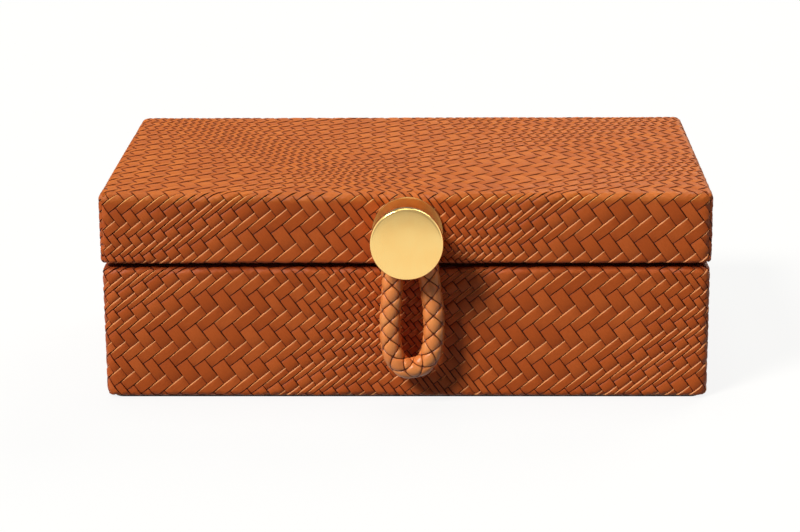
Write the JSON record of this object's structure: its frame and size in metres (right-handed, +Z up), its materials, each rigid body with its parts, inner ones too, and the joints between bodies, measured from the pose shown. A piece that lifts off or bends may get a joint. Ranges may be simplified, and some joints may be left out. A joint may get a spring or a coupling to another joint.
{
  "type": "stationery box",
  "caption": "Hinged-lid box for papers, covered in woven leather over boards, with a brass spool knob and a braided leather loop pull on the lid's front.",
  "frame": {"origin": "middle of the underside, on the surface that the box stands on", "axes": "+Z up, +X to the right as seen from the front, the front with the knob faces -Y"},
  "size_m": [0.254, 0.1791, 0.0889],
  "materials": {
    "woven_leather": "tan leather strips in a 2/2 twill, pressed flat, satin",
    "braided_leather": "round braid of tan leather strands, satin",
    "board": "plain fibreboard, hidden by leather and lining",
    "suede_lining": "dark brown suede, matt",
    "base_pad": "dark brown suede, matt",
    "knob_brass": "satin brushed brass",
    "hinge_brass": "satin brass",
    "steel_fastener": "plain zinc-plated steel"
  },
  "bodies": {
    "base": {"base_cover": "woven_leather", "base_floor_board": "board", "base_front_board": "board", "base_back_board": "board", "base_left_board": "board", "base_right_board": "board", "base_front_lining": "suede_lining", "base_back_lining": "suede_lining", "base_left_lining": "suede_lining", "base_right_lining": "suede_lining", "base_floor_lining": "suede_lining", "underside_pad": "base_pad", "hinge_left_lower_leaf": "hinge_brass", "hinge_right_lower_leaf": "hinge_brass", "hinge_left_pin": "hinge_brass", "hinge_right_pin": "hinge_brass", "hinge_lower_screws": "hinge_brass"},
    "lid": {"lid_cover": "woven_leather", "lid_top_board": "board", "lid_front_board": "board", "lid_back_board": "board", "lid_left_board": "board", "lid_right_board": "board", "lid_front_lining": "suede_lining", "lid_back_lining": "suede_lining", "lid_left_lining": "suede_lining", "lid_right_lining": "suede_lining", "lid_top_lining": "suede_lining", "hinge_left_upper_leaf": "hinge_brass", "hinge_right_upper_leaf": "hinge_brass", "hinge_upper_screws": "hinge_brass", "knob_flange": "knob_brass", "knob_neck": "knob_brass", "knob_disc": "knob_brass", "knob_washer": "steel_fastener", "knob_screw": "steel_fastener"},
    "loop": {"pull_loop": "braided_leather"}
  },
  "joints": [
    {"name": "lid_hinge", "type": "hinge", "parent": "base", "child": "lid", "pos_m": [0, 0.0785, 0.058], "axis": [-1, 0, 0], "range_deg": [0, 100]},
    {"name": "loop_swing", "type": "hinge", "parent": "lid", "child": "loop", "pos_m": [0.001, -0.0852, 0.0731], "axis": [0, 1, 0], "continuous": true}
  ]
}
